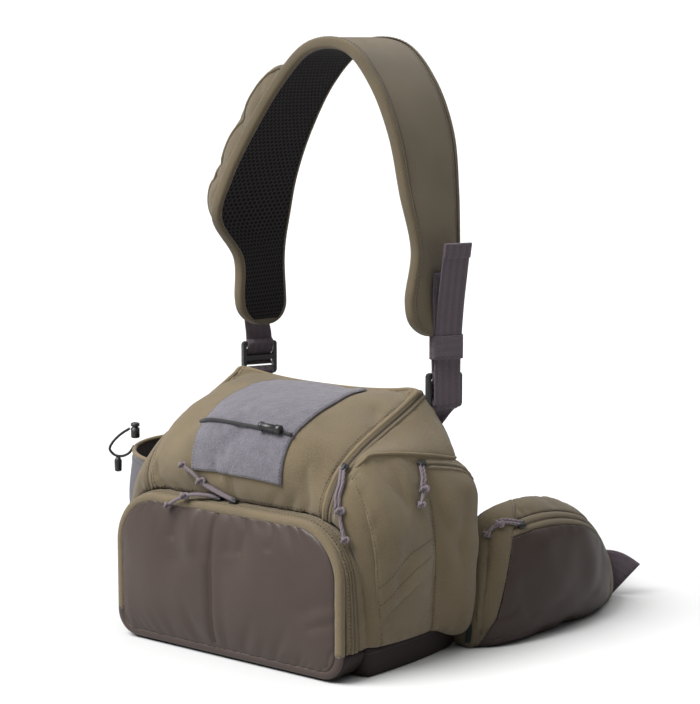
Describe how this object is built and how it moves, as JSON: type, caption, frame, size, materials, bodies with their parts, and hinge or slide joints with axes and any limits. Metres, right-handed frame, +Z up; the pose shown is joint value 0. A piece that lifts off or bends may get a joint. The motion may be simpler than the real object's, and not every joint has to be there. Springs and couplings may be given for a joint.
{
  "type": "hip pack",
  "caption": "Soft olive hip pack with a coated front pocket, padded shoulder strap, hip wings, belt and a fly patch on its lid.",
  "frame": {"origin": "middle of the flat base, on the surface that the pack stands on", "axes": "+X along the front to the right as seen from the front, +Y from the front to the back, +Z up"},
  "size_m": [0.3834, 0.4129, 0.5135],
  "materials": {
    "olive_cloth": "matte woven",
    "brown_coated_cloth": "coated, soft sheen",
    "dark_coated_cloth": "coated, soft sheen",
    "grey_felt": "matte felt and stretch cloth",
    "webbing": "matte woven webbing and cord",
    "spacer_mesh": "matte open mesh",
    "black_plastic": "satin moulded",
    "green_label": "matte woven"
  },
  "bodies": {
    "root": {"base_tray": "brown_coated_cloth", "side_panel_right": "olive_cloth", "side_panel_left": "olive_cloth", "back_panel": "olive_cloth", "front_wall": "olive_cloth", "lid": "olive_cloth", "fly_patch": "grey_felt", "lid_zip": "olive_cloth", "tippet_cord": "black_plastic", "front_panel": "brown_coated_cloth", "front_piping": "olive_cloth", "front_strip": "olive_cloth", "front_zip": "webbing", "rear_strip": "olive_cloth", "front_pocket_base": "brown_coated_cloth", "side_sleeve": "olive_cloth", "side_pocket": "olive_cloth", "bottle_pocket": "grey_felt", "drawcord": "webbing", "drawcord_lock": "black_plastic", "drawcord_end": "black_plastic", "wing_pad_right": "webbing", "wing_pad_left": "webbing", "wing_band_right": "olive_cloth", "wing_band_left": "olive_cloth", "wing_panel_right": "dark_coated_cloth", "wing_panel_left": "dark_coated_cloth", "wing_zip_right": "webbing", "wing_zip_left": "webbing", "wing_top_right": "olive_cloth", "wing_top_left": "olive_cloth", "wing_stay_right": "webbing", "wing_stay_left": "webbing", "belt_lock_right": "black_plastic", "belt_lock_left": "black_plastic", "belt_web_right": "webbing", "belt_web_left": "webbing", "belt_tail": "webbing", "belt_buckle": "black_plastic", "strap_pad": "olive_cloth", "strap_mesh": "spacer_mesh", "strap_pocket": "olive_cloth", "strap_lock_right": "black_plastic", "strap_lock_left": "black_plastic", "strap_web_right": "webbing", "strap_web_left": "webbing", "strap_anchor_right": "webbing", "strap_anchor_left": "webbing", "strap_tail": "webbing", "strap_keeper": "webbing", "lid_pull": "webbing", "front_pull_upper": "webbing", "front_pull_lower": "webbing", "side_pull": "webbing", "wing_pull_right": "webbing", "wing_pull_left": "webbing", "label_tab": "green_label"}
  },
  "joints": []
}
